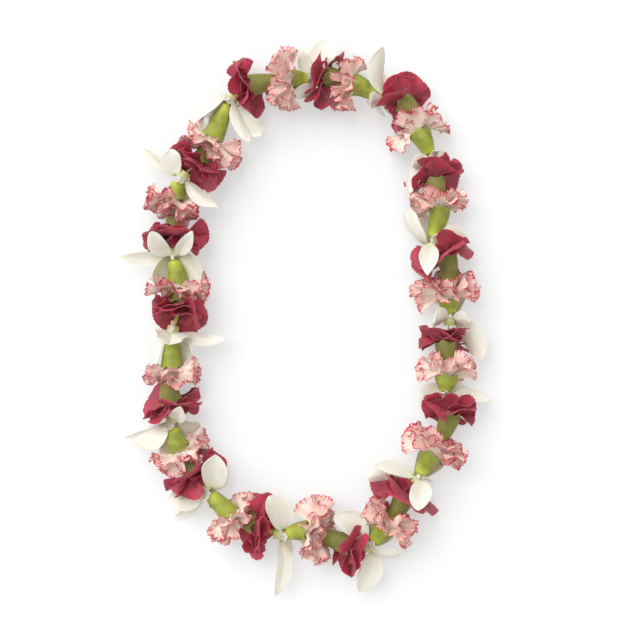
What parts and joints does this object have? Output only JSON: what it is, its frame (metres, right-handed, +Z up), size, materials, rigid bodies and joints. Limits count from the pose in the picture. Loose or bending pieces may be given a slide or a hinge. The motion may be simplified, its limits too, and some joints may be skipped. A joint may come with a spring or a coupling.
{
  "type": "flower lei",
  "caption": "Closed garland of crimson and crimson-edged cream carnations and white dendrobium orchids, strung foot to face on a thread and laid flat as a long oval.",
  "frame": {"origin": "middle of the loop's bounding box, at the surface it lies on", "axes": "+Y along the loop's length, +X across it, +Z up from the surface"},
  "size_m": [0.3014, 0.4472, 0.0558],
  "materials": {
    "calyx": "matt, slightly waxy",
    "crimson_petal": "satin petal",
    "orchid_petal": "waxy petal",
    "picotee_petal": "soft matt petal",
    "thread": "plied cotton"
  },
  "bodies": {
    "root": {"calyx_run_01": "calyx", "calyx_run_02": "calyx", "calyx_run_03": "calyx", "calyx_run_04": "calyx", "calyx_run_05": "calyx", "calyx_run_06": "calyx", "calyx_run_07": "calyx", "calyx_run_08": "calyx", "calyx_run_09": "calyx", "calyx_run_10": "calyx", "crimson_petals_01": "crimson_petal", "crimson_petals_02": "crimson_petal", "crimson_petals_03": "crimson_petal", "crimson_petals_04": "crimson_petal", "crimson_petals_05": "crimson_petal", "crimson_petals_06": "crimson_petal", "crimson_petals_07": "crimson_petal", "crimson_petals_08": "crimson_petal", "crimson_petals_09": "crimson_petal", "crimson_petals_10": "crimson_petal", "crimson_petals_11": "crimson_petal", "crimson_petals_12": "crimson_petal", "crimson_petals_13": "crimson_petal", "crimson_petals_14": "crimson_petal", "crimson_petals_15": "crimson_petal", "orchid_01": "orchid_petal", "orchid_02": "orchid_petal", "orchid_03": "orchid_petal", "orchid_04": "orchid_petal", "orchid_05": "orchid_petal", "orchid_06": "orchid_petal", "orchid_07": "orchid_petal", "orchid_08": "orchid_petal", "orchid_09": "orchid_petal", "orchid_10": "orchid_petal", "orchid_11": "orchid_petal", "orchid_12": "orchid_petal", "orchid_13": "orchid_petal", "orchid_14": "orchid_petal", "orchid_15": "orchid_petal", "picotee_petals_01": "picotee_petal", "picotee_petals_02": "picotee_petal", "picotee_petals_03": "picotee_petal", "picotee_petals_04": "picotee_petal", "picotee_petals_05": "picotee_petal", "picotee_petals_06": "picotee_petal", "picotee_petals_07": "picotee_petal", "picotee_petals_08": "picotee_petal", "picotee_petals_09": "picotee_petal", "picotee_petals_10": "picotee_petal", "picotee_petals_11": "picotee_petal", "picotee_petals_12": "picotee_petal", "picotee_petals_13": "picotee_petal", "picotee_petals_14": "picotee_petal", "picotee_petals_15": "picotee_petal", "thread": "thread"}
  },
  "joints": []
}
